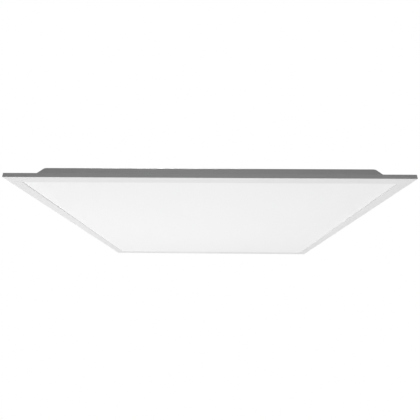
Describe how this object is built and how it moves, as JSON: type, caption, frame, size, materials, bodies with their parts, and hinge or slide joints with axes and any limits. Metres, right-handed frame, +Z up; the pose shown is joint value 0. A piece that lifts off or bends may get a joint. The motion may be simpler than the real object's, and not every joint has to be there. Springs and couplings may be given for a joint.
{
  "type": "led panel light",
  "caption": "Square lay-in LED ceiling panel: thin white frame, opal diffuser, sloping-sided steel back pan, driver box with hinged cover and swing-out T-bar clips.",
  "frame": {"origin": "centre of the frame's underside, which is the visible face in the ceiling", "axes": "+Z up towards the driver box, light shines along -Z; +X towards the cable inlet; -Y towards the cover's finger tab"},
  "size_m": [0.603, 0.603, 0.064],
  "materials": {
    "frame_enamel": "extruded, satin white powder coat",
    "pan_enamel": "satin white powder coat",
    "box_enamel": "satin white powder coat",
    "opal": "matt opal sheet",
    "zinc": "bright zinc plate",
    "foam": "white closed-cell foam",
    "reflector": "matt white film",
    "led_board_white": "white solder mask",
    "lens": "clear moulded plastic",
    "phosphor": "yellow phosphor",
    "connector": "white moulded nylon",
    "wire_red": "smooth insulation",
    "wire_black": "smooth insulation",
    "wire_white": "smooth insulation",
    "wire_green": "smooth insulation",
    "cord_grey": "smooth jacket",
    "circuit_board": "phenolic laminate",
    "nylon_black": "black moulded nylon",
    "nylon_natural": "natural nylon",
    "ferrite": "ferrite and tape",
    "can_sleeve": "shrink sleeve",
    "heat_sink_metal": "mill finish",
    "block_grey": "grey moulded plastic",
    "lever_orange": "orange moulded plastic"
  },
  "bodies": {
    "housing": {"frame_rail_front": "frame_enamel", "frame_rail_rear": "frame_enamel", "frame_rail_left": "frame_enamel", "frame_rail_right": "frame_enamel", "corner_keys": "zinc", "pan_screws": "zinc", "diffuser_plate": "opal", "seal_strips": "foam", "back_pan": "pan_enamel", "reflector_sheet": "reflector", "led_packages": "phosphor", "board_connectors": "connector", "jumper_wires": "wire_red", "board_rivets": "zinc", "driver_box_base": "box_enamel", "driver_box_rivets": "zinc", "cover_hinge_pins": "zinc", "cover_clip_nut": "zinc", "knockout_discs": "box_enamel", "cable_bushing": "nylon_black", "driver_board": "circuit_board", "board_standoffs": "nylon_natural", "transformer": "ferrite", "capacitors": "can_sleeve", "heat_sink": "heat_sink_metal", "driver_connectors": "connector", "terminal_block": "block_grey", "live_lead": "wire_black", "neutral_lead": "wire_white", "earth_lead": "wire_green", "output_lead": "cord_grey", "earth_terminal": "zinc", "lead_grommet": "nylon_black", "switch_bodies": "nylon_black", "clip_rivets": "zinc", "led_board_1": "led_board_white", "led_lenses_1": "lens", "led_board_2": "led_board_white", "led_lenses_2": "lens", "led_board_3": "led_board_white", "led_lenses_3": "lens", "led_board_4": "led_board_white", "led_lenses_4": "lens", "led_board_5": "led_board_white", "led_lenses_5": "lens", "hanger_lug_front_left": "zinc", "hanger_lug_rear_left": "zinc", "hanger_lug_front_right": "zinc", "hanger_lug_rear_right": "zinc"},
    "clip_front_left": {"tbar_clip_front_left": "zinc"},
    "clip_rear_left": {"tbar_clip_rear_left": "zinc"},
    "clip_front_right": {"tbar_clip_front_right": "zinc"},
    "clip_rear_right": {"tbar_clip_rear_right": "zinc"},
    "cover": {"driver_box_cover": "box_enamel", "cover_screw": "zinc"},
    "wattage_switch": {"wattage_slider": "nylon_natural"},
    "colour_switch": {"colour_slider": "nylon_natural"},
    "lever_1": {"terminal_lever_1": "lever_orange"},
    "lever_2": {"terminal_lever_2": "lever_orange"},
    "lever_3": {"terminal_lever_3": "lever_orange"}
  },
  "joints": [
    {"name": "clip_front_left_swing", "type": "hinge", "parent": "housing", "child": "clip_front_left", "pos_m": [-0.2945, -0.165, 0.0076], "axis": [0, 0, 1], "range_deg": [0, 90]},
    {"name": "clip_rear_left_swing", "type": "hinge", "parent": "housing", "child": "clip_rear_left", "pos_m": [-0.2945, 0.165, 0.0076], "axis": [0, 0, -1], "range_deg": [0, 90]},
    {"name": "clip_front_right_swing", "type": "hinge", "parent": "housing", "child": "clip_front_right", "pos_m": [0.2945, -0.165, 0.0076], "axis": [0, 0, -1], "range_deg": [0, 90]},
    {"name": "clip_rear_right_swing", "type": "hinge", "parent": "housing", "child": "clip_rear_right", "pos_m": [0.2945, 0.165, 0.0076], "axis": [0, 0, 1], "range_deg": [0, 90]},
    {"name": "cover_hinge", "type": "hinge", "parent": "housing", "child": "cover", "pos_m": [0, 0.0584, 0.0597], "axis": [-1, 0, 0], "range_deg": [0, 105]},
    {"name": "wattage_slide", "type": "slide", "parent": "housing", "child": "wattage_switch", "axis": [1, 0, 0], "range_m": [-0.004, 0.004]},
    {"name": "colour_slide", "type": "slide", "parent": "housing", "child": "colour_switch", "axis": [1, 0, 0], "range_m": [-0.004, 0.004]},
    {"name": "lever_1_lift", "type": "hinge", "parent": "housing", "child": "lever_1", "pos_m": [0.068, -0.0276, 0.0444], "axis": [0, -1, 0], "range_deg": [0, 90]},
    {"name": "lever_2_lift", "type": "hinge", "parent": "housing", "child": "lever_2", "pos_m": [0.068, -0.02, 0.0444], "axis": [0, -1, 0], "range_deg": [0, 90]},
    {"name": "lever_3_lift", "type": "hinge", "parent": "housing", "child": "lever_3", "pos_m": [0.068, -0.0124, 0.0444], "axis": [0, -1, 0], "range_deg": [0, 90]}
  ]
}
